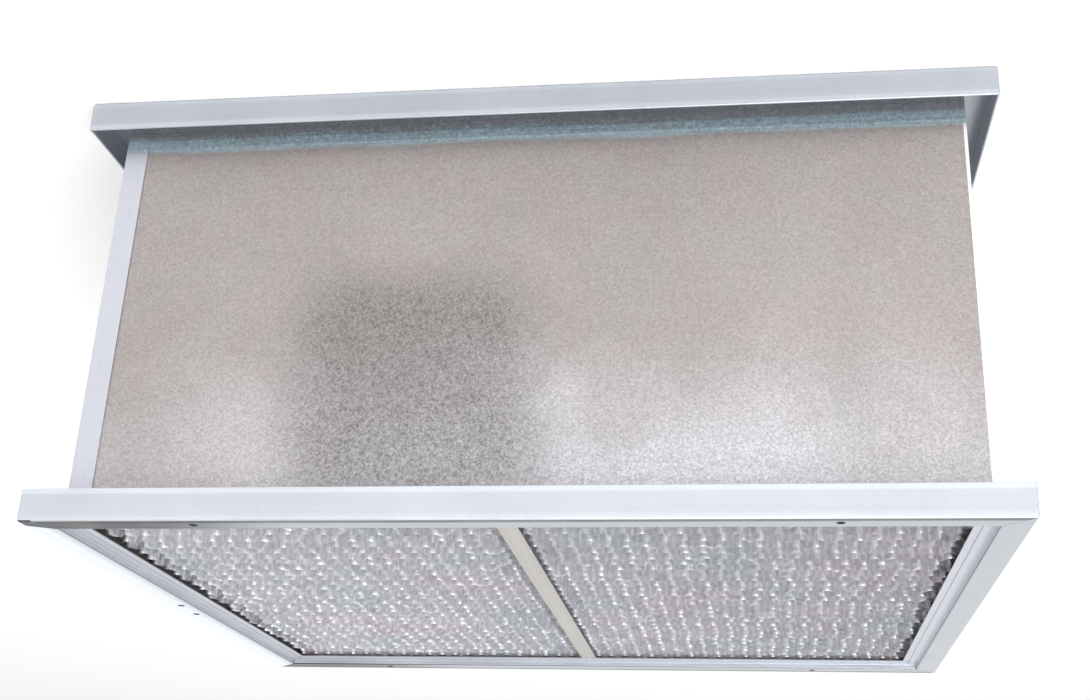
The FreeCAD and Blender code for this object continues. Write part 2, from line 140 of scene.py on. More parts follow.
class FilterFoilSettings(bpy.types.PropertyGroup):
    foil_colour: colour("Foil", "Rolled aluminium of the separators", (0.83, 0.815, 0.845))
    cool_colour: colour("Cool tint", "Bluish cast on parts of the foil", (0.78, 0.81, 0.84))
    warm_colour: colour("Warm tint", "Lilac cast on parts of the foil", (0.84, 0.79, 0.85))
    wave_pitch: length("Wave pitch", "Pitch of the corrugation", 0.0114, 0.002, 0.1)
    thickness: length("Thickness", "Foil thickness", 0.00015, 0.00002, 0.001)
    crumple: length("Crumple", "How far the open edge is crumpled", 0.0006, 0.0, 0.003)
    lean: share("Lean", "Share of the wave that the open edge is pressed in", 0.09)
    overrun: length("Overrun", "Mean reach of a foil's ends past its last whole wave", 0.0080)
    ragged: length("Ragged ends", "How unevenly the foils' ends lie", 0.0035)

    wander: length("Wander", "How far an open edge rises and falls", 0.0008, 0.0, 0.003)
    wave_points: IntProperty(name="Points in a wave", description="Corners along one wave",
                             default=10, min=4, max=24)
    seed: IntProperty(name="Seed", description="Start of the random draws", default=7,
                      min=1)


class FilterPackSettings(bpy.types.PropertyGroup):
    paper_colour: colour("Paper", "Glass-fibre paper", (0.56, 0.55, 0.54))
    # painted shade: near-black colour of the paper ends deep in the gap past the foils
    end_shade_colour: colour("Soaked paper", "Paper darkened by sealant at its ends", (0.085, 0.07, 0.09))
    end_shade_width: length("Soaked width", "Paper end to the edge of the soaked part", 0.0125)
    sealant_colour: colour("Sealant", "Cured sealant at the pleat ends", (0.10, 0.098, 0.095))
    adhesive_colour: colour("Adhesive", "Cured adhesive under the end leaves", (0.42, 0.37, 0.28))
    bead_swell: length("Bead swell", "How far the sealant's edge swells and sinks", 0.0012)


class FilterStageSettings(bpy.types.PropertyGroup):
    floor_colour: colour("Floor", "Pale floor", (0.95, 0.95, 0.952))
    floor_size: length("Floor size", "Side of the floor", 60.0, 1.0, 200.0)
    sky_low: FloatProperty(name="Sky at the horizon", description="Brightness near the floor",
                           default=1.15, min=0.0, max=10.0)
    sky_high: FloatProperty(name="Sky overhead", description="Brightness above",
                            default=0.75, min=0.0, max=10.0)
    key_power: FloatProperty(name="Key power", description="Watts of the softbox in front",
                             default=52.0, min=0.0, max=2000.0)
    top_power: FloatProperty(name="Top power", description="Watts of the softbox overhead",
                             default=20.0, min=0.0, max=2000.0)
    camera_place: FloatVectorProperty(
        name="Camera place", description="Where the camera stands",
        default=(-0.1416, -0.9958, 0.5069), subtype="TRANSLATION", size=3, unit="LENGTH")
    camera_look: FloatVectorProperty(
        name="Camera look", description="Direction the camera looks in",
        default=(0.1207, 0.92272, -0.36608), subtype="DIRECTION", size=3)
    camera_up: FloatVectorProperty(
        name="Camera up", description="Direction that is up in the picture",
        default=(-0.01558, -0.36697, -0.9301), subtype="DIRECTION", size=3)
    camera_shift: FloatVectorProperty(
        name="Camera shift", description="Sideways and upward shift of the view",
        default=(-0.0364, 0.0312), size=2)
    camera_lens: FloatProperty(name="Lens", description="Focal length in millimetres",
                               default=45.43, min=1.0, max=500.0)


# ---- helpers ---------------------------------------------------------------------------------
def add_piece(name, mesh):
    """A finished piece at the origin, riding on the filter's one body."""
    piece = bpy.data.objects.new(name, mesh)
    bpy.context.scene.collection.objects.link(piece)
    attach(piece, "root")
    return piece


def mesh_of(bm, name, smooth=True):
    for face in bm.faces:
        face.smooth = smooth
    mesh = bpy.data.meshes.new(name)
    bm.to_mesh(mesh)
    bm.free()
    return mesh


def paint(thing, material):
    thing.data.materials.clear()
    thing.data.materials.append(material)


def nodes_named(*words):
    return [name for name in NODES if any(word in name for word in words)]


class Shade:
    """A node material in the making, with a few short ways to add nodes to it."""

    def __init__(self, name, base, metallic, roughness):
        self.material = bpy.data.materials.new(name)
        self.material.use_nodes = True
        self.tree = self.material.node_tree
        self.shader = self.tree.nodes["Principled BSDF"]
        self.shader.inputs["Base Color"].default_value = (*base, 1.0)
        self.shader.inputs["Metallic"].default_value = metallic
        self.shader.inputs["Roughness"].default_value = roughness
        self.place = self.add("ShaderNodeTexCoord").outputs["Object"]

    def add(self, kind, inputs=None, **settings):
        node = self.tree.nodes.new(kind)
        for key, value in settings.items():
            setattr(node, key, value)
        for key, value in (inputs or {}).items():
            if isinstance(value, bpy.types.NodeSocket):
                self.tree.links.new(value, node.inputs[key])
            else:
                node.inputs[key].default_value = value
        return node

    def stretched(self, scale, shift=(0.0, 0.0, 0.0)):
        """Object coordinates, scaled along each axis."""
        node = self.add("ShaderNodeMapping", {"Vector": self.place, "Scale": scale,
                                              "Location": shift})
        return node.outputs["Vector"]

    def grain(self, scale, detail=3.0, roughness=0.55, place=None):
        inputs = {"Vector": place or self.place, "Scale": scale, "Detail": detail,
                  "Roughness": roughness}
        return self.add("ShaderNodeTexNoise", inputs).outputs["Fac"]

    def cells(self, scale, feature="F1", output="Color", place=None):
        inputs = {"Vector": place or self.place, "Scale": scale}
        return self.add("ShaderNodeTexVoronoi", inputs, feature=feature).outputs[output]

    def math(self, operation, first, second=0.0):
        node = self.add("ShaderNodeMath", {0: first, 1: second}, operation=operation)
        return node.outputs["Value"]

    def spread(self, value, low, high, to_low, to_high, smooth=False):
        """The value carried from one range to another, and held inside it."""
        kind = "SMOOTHSTEP" if smooth else "LINEAR"
        inputs = {"Value": value, "From Min": low, "From Max": high, "To Min": to_low,
                  "To Max": to_high}
        return self.add("ShaderNodeMapRange", inputs, interpolation_type=kind).outputs["Result"]

    def blend(self, factor, first, second, kind="MIX"):
        node = self.add("ShaderNodeMix", data_type="RGBA", blend_type=kind)
        for index, value in ((0, factor), (6, first), (7, second)):
            if isinstance(value, bpy.types.NodeSocket):
                self.tree.links.new(value, node.inputs[index])
            elif index:
                node.inputs[index].default_value = (*value, 1.0)
            else:
                node.inputs[index].default_value = value
        return node.outputs[2]

    def brightness(self, tint, factor):
        """A colour made lighter or darker by a number that may vary over the surface."""
        node = self.add("ShaderNodeVectorMath", operation="SCALE")
        if isinstance(tint, bpy.types.NodeSocket):
            self.tree.links.new(tint, node.inputs[0])
        else:
            node.inputs[0].default_value = tint
        self.tree.links.new(factor, node.inputs["Scale"])
        return node.outputs["Vector"]

    def blend_value(self, factor, first, second):
        node = self.add("ShaderNodeMix", {0: factor, 2: first, 3: second}, data_type="FLOAT")
        return node.outputs[0]

    def axis(self, letter):
        return self.add("ShaderNodeSeparateXYZ", {0: self.place}).outputs[letter]

    def set(self, socket, value):
        self.tree.links.new(value, self.shader.inputs[socket])

    def bump(self, *layers):
        """Bumps on top of each other, each a height, its distance in metres and its strength."""
        normal = None
        for height, distance, strength in layers:
            inputs = {"Height": height, "Distance": distance, "Strength": strength}
            if normal:
                inputs["Normal"] = normal
            normal = self.add("ShaderNodeBump", inputs).outputs["Normal"]
        self.set("Normal", normal)


# ---- steel finishes --------------------------------------------------------------------------
def panel_material(steel):
    """Hot-dip zinc: small spangle and faint roll lines, plus a painted glow toward the upper header, a
    painted dark reflection on the front panel, a painted reflection and shadow band by the lower
    header and a painted highlight on the front panel's -X bend.
    """
    zinc = Shade("spangled_zinc", steel.panel_colour, 0.85, steel.panel_roughness)
    crystal = zinc.add("ShaderNodeSeparateColor", {0: zinc.cells(1.0 / steel.spangle)}).outputs
    speck = zinc.grain(750.0, 2.0)
    cloud = zinc.grain(9.0, 4.0)
    rolled = zinc.grain(1.0, 2.0, place=zinc.stretched((4.0, 4.0, 420.0)))
    height = zinc.math("ADD", zinc.axis("Z"), zinc.spread(cloud, 0.3, 0.7, -0.02, 0.02))

    # Painted light: a glow that lightens the zinc toward the upper header, fading toward both ends of
    # X
    glow_rise = zinc.spread(height, steel.bright_start, steel.bright_end, 0.0, 1.0, smooth=True)
    from_left = zinc.spread(zinc.axis("X"), 0.27, -0.02, 0.35, 1.0, smooth=True)
    from_right = zinc.spread(zinc.axis("X"), -0.27, -0.08, 0.62, 1.0)
    painted_glow = zinc.math("MULTIPLY", glow_rise, zinc.math("MULTIPLY", from_left, from_right))
    glint = zinc.spread(painted_glow, 0.0, 1.0, 0.09, 0.17)

    # Painted reflection: a dark, mottled patch on the front panel where something dark is mirrored; it
    # is also made a little glossier
    aside = zinc.math("SUBTRACT", zinc.axis("X"), steel.patch_place[0])
    above = zinc.math("SUBTRACT", zinc.axis("Z"), steel.patch_place[2])
    fourth = zinc.math("ADD", zinc.math("POWER", zinc.math("ABSOLUTE", aside), 4.0),
                       zinc.math("POWER", zinc.math("ABSOLUTE", above), 4.0))
    away = zinc.math("DIVIDE", zinc.math("POWER", fourth, 0.25), steel.patch_reach)
    on_front = zinc.math("LESS_THAN", zinc.axis("Y"), 0.0)
    ragged = zinc.math("ADD", away, zinc.spread(cloud, 0.3, 0.7, -0.07, 0.07))
    dark_reflection = zinc.math("MULTIPLY", on_front, zinc.spread(ragged, 0.60, 1.25, 1.0, 0.0, smooth=True))
    mottle = zinc.grain(420.0, 3.0, 0.7)
    dark_reflection_part = zinc.math("MULTIPLY", dark_reflection, zinc.spread(mottle, 0.40, 0.60, 0.76, 0.46))

    # Painted reflection and shadow: a band by the lower header where the panel mirrors the dark inside
    # of the header channel, brownish shadow low down and bluish reflection above, with faint mirrored
    # streaks
    edge = zinc.math("ADD", zinc.axis("Z"), zinc.spread(cloud, 0.3, 0.7, -0.0015, 0.0015))
    reflection_band = zinc.spread(edge, steel.reflection_height - 0.004, steel.reflection_height, 1.0, 0.0,
                          smooth=True)
    lines = zinc.grain(1.0, 3.0, 0.7, place=zinc.stretched((1.5, 1.5, 650.0)))
    reflection_part = zinc.math("MULTIPLY", reflection_band, zinc.spread(cloud, 0.3, 0.7, 0.80, 1.0))

    aged = zinc.blend(zinc.spread(zinc.grain(22.0, 2.0), 0.42, 0.66, 0.0, 0.45),
                      steel.panel_colour, steel.aged_colour)
    plain = zinc.blend(painted_glow, aged, steel.bright_colour)
    plain = zinc.brightness(plain, zinc.spread(cloud, 0.3, 0.7, 0.94, 1.05))
    # Spangle and speck contrast, raised into painted glints inside the painted glow
    wide = zinc.math("SUBTRACT", 1.0, glint)
    tall = zinc.math("ADD", 1.0, glint)
    twinkle = zinc.add("ShaderNodeMapRange", {"Value": crystal[0], "To Min": wide,
                                              "To Max": tall}).outputs["Result"]
    grainy = zinc.add("ShaderNodeMapRange", {"Value": speck, "From Min": 0.3, "From Max": 0.7,
                                             "To Min": wide, "To Max": tall}).outputs["Result"]
    plain = zinc.brightness(zinc.brightness(plain, twinkle), grainy)
    dark = zinc.brightness(steel.dark_reflection_colour, zinc.spread(crystal[1], 0, 1, 0.6, 1.7))
    dark = zinc.brightness(dark, zinc.spread(speck, 0.35, 0.65, 0.75, 1.3))
    tinted = zinc.blend(dark_reflection_part, plain, dark)

    side_face, end_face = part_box("right_panel")[1].x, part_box("rear_panel")[1].y
    proud = 0.0003
    past_side = zinc.math("GREATER_THAN", zinc.math("ABSOLUTE", zinc.axis("X")), side_face + proud)
    past_end = zinc.math("GREATER_THAN", zinc.math("ABSOLUTE", zinc.axis("Y")), end_face + proud)
    middle_z = CAD_BOX[1][2] / 2
    from_middle = zinc.math("ABSOLUTE", zinc.math("SUBTRACT", zinc.axis("Z"), middle_z))
    lip = zinc.math("GREATER_THAN", from_middle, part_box("front_panel")[1].z - middle_z - proud)
    flange = zinc.math("MAXIMUM", zinc.math("MAXIMUM", past_side, past_end), lip)
    lit = zinc.brightness(steel.flange_colour, zinc.spread(cloud, 0.3, 0.7, 0.96, 1.04))
    tinted = zinc.blend(flange, tinted, lit)
    # Painted highlight along the front panel's rounded bend at -X
    by_edge = zinc.math("LESS_THAN", zinc.axis("X"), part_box("front_panel")[0].x + steel.bend_highlight_width)
    in_front = zinc.math("LESS_THAN", zinc.axis("Y"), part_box("left_panel")[0].y)
    tinted = zinc.blend(zinc.math("MULTIPLY", by_edge, in_front), tinted, steel.bend_highlight_colour)
    shaded = zinc.blend(zinc.spread(edge, 0.017, 0.020, 1.0, 0.0), steel.channel_reflection_colour,
                        steel.channel_shadow_colour)
    shaded = zinc.brightness(shaded, zinc.spread(lines, 0.36, 0.60, 1.14, 0.84))
    shaded = zinc.brightness(shaded, zinc.spread(crystal[1], 0.0, 1.0, 0.85, 1.18))
    zinc.set("Base Color", zinc.blend(reflection_part, tinted, shaded))

    rough = steel.panel_roughness
    spotted = zinc.spread(crystal[2], 0.0, 1.0, rough - 0.10, rough + 0.12)
    softer = zinc.math("ADD", spotted, zinc.spread(rolled, 0.3, 0.7, -0.04, 0.04))
    zinc.set("Roughness", zinc.math("SUBTRACT", softer, zinc.math("MULTIPLY", dark_reflection, 0.06)))
    zinc.bump((zinc.grain(11.0, 1.0), 0.004, 0.08), (rolled, 0.0002, 0.10),
              (crystal[0], 0.0002, 0.20), (speck, 0.0002, 0.15))
    return zinc.material


def smooth_zinc(name, tint, roughness, streak_scale, contrast):
    """Skin-passed zinc with faint streaks along the strip, smudges and fine scratches."""
    zinc = Shade(name, tint, 0.8, roughness)
    streak = zinc.grain(1.0, 3.0, 0.6, place=zinc.stretched(streak_scale))
    cloud = zinc.grain(16.0, 4.0, 0.6)
    speck = zinc.grain(700.0, 2.0)
    shade = zinc.brightness(tint, zinc.spread(streak, 0.3, 0.7, 1.0 - contrast, 1.0 + contrast))
    shade = zinc.brightness(shade, zinc.spread(cloud, 0.3, 0.7, 0.95, 1.04))
    shade = zinc.brightness(shade, zinc.spread(speck, 0.3, 0.7, 0.97, 1.03))
    zinc.set("Base Color", shade)
    dark_reflection = zinc.spread(cloud, 0.35, 0.7, roughness - 0.05, roughness + 0.09)
    zinc.set("Roughness", zinc.math("ADD", dark_reflection, zinc.spread(streak, 0.3, 0.7, -0.04, 0.04)))
    zinc.bump((cloud, 0.0006, 0.06), (streak, 0.0001, 0.12), (speck, 0.0001, 0.10))
    return zinc, shade


def rail_material(name, steel, streak_scale, face_tone, crease_shade_tone, hole_place):
    """Header zinc with painted highlights along the hem and the outer bend, painted shade in the
    crease inside the bend, on the lower header and in the face tone, and painted shadows at the step,
    in the sprung mitre and in the punched holes.
    """
    zinc, shade = smooth_zinc(name, steel.header_colour, steel.header_roughness, streak_scale,
                              0.035)
    far = Vector(CAD_BOX[1])
    across_x = zinc.math("ABSOLUTE", zinc.axis("X"))
    across_y = zinc.math("ABSOLUTE", zinc.axis("Y"))
    inward_x = zinc.math("SUBTRACT", far.x, across_x)
    inward_y = zinc.math("SUBTRACT", far.y, across_y)
    inward = zinc.math("MINIMUM", inward_x, inward_y)
    from_middle = zinc.math("ABSOLUTE", zinc.math("SUBTRACT", zinc.axis("Z"), far.z / 2))
    below_face = zinc.math("SUBTRACT", far.z / 2, from_middle)
    # Painted shade: the lower header is darker than the upper one
    shade = zinc.brightness(shade, zinc.spread(zinc.axis("Z"), 0.02, far.z - 0.02, 0.88, 1.0))

    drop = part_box("lower_header_front")[1].z
    # Painted highlights on the return by its hem and by the face's outer bend
    on_return = zinc.math("LESS_THAN", inward, 0.0005)
    hem = zinc.spread(below_face, drop - 0.0042, drop - 0.0030, 1.0, 1.17)
    bend = zinc.spread(below_face, 0.0048, 0.0012, 1.0, 1.14)
    rim_highlight = zinc.math("MULTIPLY", hem, bend)
    shade = zinc.brightness(shade, zinc.blend_value(on_return, 1.0, rim_highlight))

    on_face = zinc.math("LESS_THAN", below_face, 0.0007)
    # Painted shade in the crease just inside the outer bend
    crease_shade = zinc.math("MULTIPLY", zinc.spread(inward, 0.0009, 0.0012, 0.0, 1.0),
                     zinc.spread(inward, 0.0045, 0.0070, 1.0, 0.0))
    # Painted shadow: a thin dark band at the step at the face's inner edge
    from_step = zinc.math("ABSOLUTE", zinc.math("SUBTRACT", inward, steel.rail_face))
    step_shadow = zinc.spread(from_step, 0.0003, 0.0009, 0.25, 1.0)
    tone = zinc.math("MULTIPLY", face_tone(zinc), zinc.spread(crease_shade, 0.0, 1.0, 1.0, crease_shade_tone))
    tone = zinc.math("MULTIPLY", tone, step_shadow)
    inside = zinc.math("MULTIPLY", on_face, zinc.spread(inward, 0.0008, 0.0011, 0.0, 1.0))
    shade = zinc.brightness(shade, zinc.blend_value(inside, 1.0, tone))

    # Painted shadow in the open mitre at the front +X corner of the upper header
    off_mitre = zinc.math("ABSOLUTE", zinc.math("SUBTRACT", inward_x, inward_y))
    gape = zinc.spread(inward, 0.002, steel.rail_face, 0.0085, 0.0)
    sprung = zinc.math("MULTIPLY", zinc.math("LESS_THAN", off_mitre, gape), on_face)
    corner = zinc.math("MULTIPLY", zinc.math("GREATER_THAN", zinc.axis("X"), 0.0),
                       zinc.math("LESS_THAN", zinc.axis("Y"), 0.0))
    top = zinc.math("GREATER_THAN", zinc.axis("Z"), far.z / 2)
    sprung = zinc.math("MULTIPLY", sprung, zinc.math("MULTIPLY", corner, top))
    shade = zinc.blend(sprung, shade, steel.gap_shadow_colour)

    # Painted shadow: a dark disc over each punched hole
    from_x, hole_x, hole_y = hole_place(zinc)
    off_x = zinc.math("SUBTRACT", from_x, hole_x)
    off_y = zinc.math("SUBTRACT", across_y, hole_y)
    squared = zinc.math("ADD", zinc.math("MULTIPLY", off_x, off_x),
                        zinc.math("MULTIPLY", off_y, off_y))
    punched = zinc.math("LESS_THAN", squared, steel.hole_radius ** 2)
    zinc.set("Base Color", zinc.blend(punched, shade, steel.gap_shadow_colour))
    return zinc.material


def shaded_toward_right(zinc):
    """Tone of a long rail's face: painted shade that darkens it toward +X."""
    return zinc.spread(zinc.axis("X"), 0.11, 0.24, 0.84, 0.10, smooth=True)


def bright_outside(zinc):
    """Tone of a short rail's face: a painted highlight along the outer edge of the +X rail, and
    painted shade toward -X.
    """
    outer = CAD_BOX[1][0]
    bright = zinc.spread(zinc.axis("X"), outer - 0.018, outer - 0.010, 1.0, 1.5)
    return zinc.math("MULTIPLY", bright, zinc.spread(zinc.axis("X"), -0.28, 0.0, 0.86, 1.0))


class FILTER_OT_steel(bpy.types.Operator):
    """Give the panels, header rails and straps their zinc finishes"""

    bl_idname = "filter.steel"
    bl_label = "Steel finishes"

    def execute(self, context):
        steel = context.scene.filter_steel
        along_x, along_y = (3.0, 260.0, 260.0), (260.0, 3.0, 260.0)
        panel = panel_material(steel)
        rails = {
            "front": rail_material("smooth_zinc_long", steel, along_x, shaded_toward_right, 0.30,
                                   lambda zinc: (zinc.math("ABSOLUTE", zinc.axis("X")),
                                                 *steel.long_holes)),
            "left": rail_material("smooth_zinc_short", steel, along_y, bright_outside, 1.0,
                                  lambda zinc: (zinc.axis("X"), *steel.short_holes)),
        }
        rails["rear"], rails["right"] = rails["front"], rails["left"]
        strap = smooth_zinc("dull_zinc_strap", steel.strap_colour, 0.55, along_y, 0.06)[0].material
        for name in nodes_named("panel"):
            paint(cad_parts[name], panel)
        for name in nodes_named("header"):
            paint(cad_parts[name], rails[name.rsplit("_", 1)[1]])
        for name in nodes_named("centre_strap"):
            paint(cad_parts[name], strap)
        return {"FINISHED"}


# ---- separators ------------------------------------------------------------------------------
def foil_material(foil):
    """Rolled foil: bright metal with streaks down the flutes, dull spots and faint tints."""
    metal = Shade("rolled_foil", foil.foil_colour, 0.85, 0.42)
    flute = metal.grain(1.0, 3.0, 0.6, place=metal.stretched((900.0, 900.0, 60.0)))
    cloud = metal.grain(30.0, 3.0, 0.6)
    tint = metal.grain(14.0, 1.0, place=metal.stretched((1.0, 1.0, 1.0), (3.1, 1.7, 0.4)))
    cool = metal.blend(metal.spread(tint, 0.35, 0.65, 0.0, 1.0), foil.foil_colour,
                       foil.cool_colour)
    warm = metal.blend(metal.spread(cloud, 0.45, 0.7, 0.0, 0.6), cool, foil.warm_colour)
    toned = metal.brightness(warm, metal.spread(flute, 0.3, 0.7, 0.80, 1.12))
    # Painted shade: the foils darken toward -X
    toned = metal.brightness(toned, metal.spread(metal.axis("X"), -0.22, 0.20, 0.90, 1.03))
    metal.set("Base Color", toned)
    metal.set("Roughness", metal.spread(flute, 0.3, 0.7, 0.28, 0.54))
    metal.bump((cloud, 0.002, 0.10), (flute, 0.0003, 0.35))
    return metal.material


FOILS_IN_GROUP = 6
PRESSED_IN = (1.0, 0.25, 0.0, 0.0, 0.0, 0.0)      # how far each row of corners is pressed in


def foil_levels(edge, hidden):
    """Heights of a foil's rows of corners, close together by the open edge."""
    into = 1.0 if hidden > edge else -1.0
    near = [edge + into * step for step in (0.0, 0.0010, 0.0028, 0.0075, 0.02)]
    return near + [hidden]


def add_foil(bm, foil, number, box_low, box_high, middle_y, half_depth, levels):
    """One corrugated foil: a grid bent into waves, with a crumpled and uneven open edge."""
    rng = random.Random(foil.seed * 1000 + number)
    waves = round((box_high.x - box_low.x) / foil.wave_pitch)
    span = waves * foil.wave_pitch
    columns = waves * foil.wave_points
    rows = len(levels) - 1
    made = bmesh.ops.create_grid(bm, x_segments=columns, y_segments=rows, size=0.5)
    middle_x = (box_low.x + box_high.x) / 2
    low_end, high_end = [foil.overrun + rng.uniform(-foil.ragged, foil.ragged) for _ in range(2)]
    phase = rng.uniform(-0.6, 0.6)
    lift = rng.uniform(-0.5, 0.5) * foil.wander
    into = 1.0 if levels[-1] > levels[0] else -1.0
    for vertex in made["verts"]:
        along, row = vertex.co.x, round((vertex.co.y + 0.5) * rows)
        near_edge = max(0.0, 1.0 - abs(levels[row] - levels[0]) / 0.012)
        x = middle_x + along * span + along * (high_end if along > 0 else low_end) * 2.0
        drift = 0.35 * noise.noise(Vector((x * 9.0, number * 3.7, 0.0)))
        turn = 2.0 * math.pi * along * waves + phase + drift
        swing = math.sin(turn) + 0.10 * math.sin(3.0 * turn)
        depth = half_depth * (0.93 + 0.07 * noise.noise(Vector((x * 40.0, number, 5.0))))
        depth *= 1.0 - foil.lean * PRESSED_IN[row]
        fold = Vector((x * 420.0, number * 7.3, row * 2.1))
        dent = noise.noise_vector(fold) * foil.crumple * near_edge
        rise = noise.noise(Vector((x * 55.0, number * 1.9, 9.0))) * foil.wander * near_edge
        level = levels[row] + into * (abs(lift) + abs(rise)) * near_edge
        vertex.co = Vector((x + dent.x, middle_y + depth * swing + dent.y, level + dent.z * 0.5))
    return made["verts"]


def build_separators(foil, name, first_number):
    """The foils of one node, spaced as they are in the frame."""
    box_low, box_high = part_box(name)
    face = name.split("_")[0]
    group = nodes_named(face + "_separators")
    pitch = (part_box(group[1])[0].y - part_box(group[0])[0].y) / FOILS_IN_GROUP
    half_depth = (box_high.y - box_low.y - (FOILS_IN_GROUP - 1) * pitch) / 2 - foil.thickness
    edge, hidden = box_low.z, box_high.z
    if face == "upper":
        edge, hidden = hidden, edge
    levels = foil_levels(edge, hidden)
    bm = bmesh.new()
    for place in range(FOILS_IN_GROUP):
        middle_y = box_low.y + half_depth + foil.thickness + place * pitch
        add_foil(bm, foil, first_number + place, box_low, box_high, middle_y, half_depth, levels)
    for edge_line in bm.edges:
        edge_line.smooth = not edge_line.is_boundary
    piece = add_piece(name.replace("separators", "foils"), mesh_of(bm, name))
    wall = piece.modifiers.new("Foil thickness", "SOLIDIFY")
    wall.thickness = foil.thickness
    wall.offset = 0.0
    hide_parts(name)
    return piece


class FILTER_OT_separators(bpy.types.Operator):
    """Bend the corrugated foils between the pleats"""

    bl_idname = "filter.separators"
    bl_label = "Separator foils"

    def execute(self, context):
        foil = context.scene.filter_foil
        metal = foil_material(foil)
        noise.seed_set(foil.seed)
        for index, name in enumerate(nodes_named("separators")):
            paint(build_separators(foil, name, index * FOILS_IN_GROUP), metal)
        return {"FINISHED"}


# ---- paper, sealant and adhesive -------------------------------------------------------------
def paper_material(pack):
    """Felted glass fibre: matt, cloudy and finely hairy, with painted shade near its ends."""
    paper = Shade("glass_fibre_paper", pack.paper_colour, 0.0, 0.92)
    cloud = paper.grain(60.0, 4.0, 0.6)
    hair = paper.grain(2200.0, 3.0, 0.7)
    tone = paper.brightness(pack.paper_colour, paper.spread(cloud, 0.3, 0.7, 0.88, 1.06))
    tone = paper.brightness(tone, paper.spread(hair, 0.3, 0.7, 0.90, 1.08))
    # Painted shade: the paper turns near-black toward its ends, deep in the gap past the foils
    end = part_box("pleated_media")[1].x
    along = paper.math("ABSOLUTE", paper.axis("X"))
    ragged = paper.math("ADD", along, paper.spread(cloud, 0.3, 0.7, -0.002, 0.002))
    end_shade = paper.spread(ragged, end - pack.end_shade_width - 0.002, end - pack.end_shade_width,
                          0.0, 1.0)
    paper.set("Base Color", paper.blend(end_shade, tone, pack.end_shade_colour))
    paper.set("Roughness", paper.spread(hair, 0.3, 0.7, 0.82, 0.98))
    paper.bump((cloud, 0.0008, 0.3), (hair, 0.0003, 0.5))
    return paper.material


def cured_material(name, tint, gloss):
    """A cured bead: slightly glossy skin with small pits."""
    cured = Shade(name, tint, 0.0, gloss)
    skin = cured.grain(90.0, 4.0, 0.6)
    pits = cured.cells(600.0, output="Distance")
    cured.set("Base Color", cured.brightness(tint, cured.spread(skin, 0.3, 0.7, 0.75, 1.25)))
    cured.set("Roughness", cured.spread(skin, 0.3, 0.7, gloss - 0.1, gloss + 0.2))
    cured.bump((skin, 0.0015, 0.4), (pits, 0.0002, 0.3))
    return cured.material


def build_sealant(pack, name):
    """The potted sealant at one end of the pleats, with a swelling edge at each open face."""
    low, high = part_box(name)
    bm = bmesh.new()
    bmesh.ops.create_cube(bm, size=1.0, matrix=Matrix.Translation((low + high) / 2)
                          @ Matrix.Diagonal(((high.x - low.x), (high.y - low.y),
                                             (high.z - low.z), 1.0)))
    along = [edge for edge in bm.edges if abs(edge.verts[0].co.y - edge.verts[1].co.y) > 1e-4]
    bmesh.ops.subdivide_edges(bm, edges=along, cuts=90, use_grid_fill=True)
    inner = low.x if low.x > 0 else high.x
    for vertex in bm.verts:
        wave = noise.noise(vertex.co * 70.0)
        toward = 1.0 if vertex.co.z > (low.z + high.z) / 2 else -1.0
        if abs(vertex.co.x - inner) < 1e-6:
            vertex.co.z -= toward * abs(wave) * pack.bead_swell
    return add_piece(name + "_bead", mesh_of(bm, name, smooth=False))


class FILTER_OT_pack(bpy.types.Operator):
    """Finish the pleated paper, the adhesive and the sealant round it"""

    bl_idname = "filter.pack"
    bl_label = "Paper pack"

    def execute(self, context):
        pack = context.scene.filter_pack
        for name in nodes_named("pleated_media"):
            paint(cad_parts[name], paper_material(pack))
        adhesive = cured_material("cured_adhesive", pack.adhesive_colour, 0.5)
        for name in nodes_named("adhesive"):
            paint(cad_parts[name], adhesive)
        sealant = cured_material("cured_sealant", pack.sealant_colour, 0.45)
        for name in nodes_named("end_sealant"):
            piece = build_sealant(pack, name)
            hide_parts(name)
            paint(piece, sealant)
        return {"FINISHED"}


# ---- rivets ----------------------------------------------------------------------------------
def rivet_material(steel):
    metal = Shade("rivet_aluminium", steel.rivet_colour, 0.9, 0.42)
    cloud = metal.grain(500.0, 3.0, 0.6)
    metal.set("Base Color", metal.brightness(steel.rivet_colour,
                                             metal.spread(cloud, 0.3, 0.7, 0.8, 1.1)))
    metal.set("Roughness", metal.spread(cloud, 0.3, 0.7, 0.32, 0.55))
    metal.bump((cloud, 0.0002, 0.3))
    return metal.material


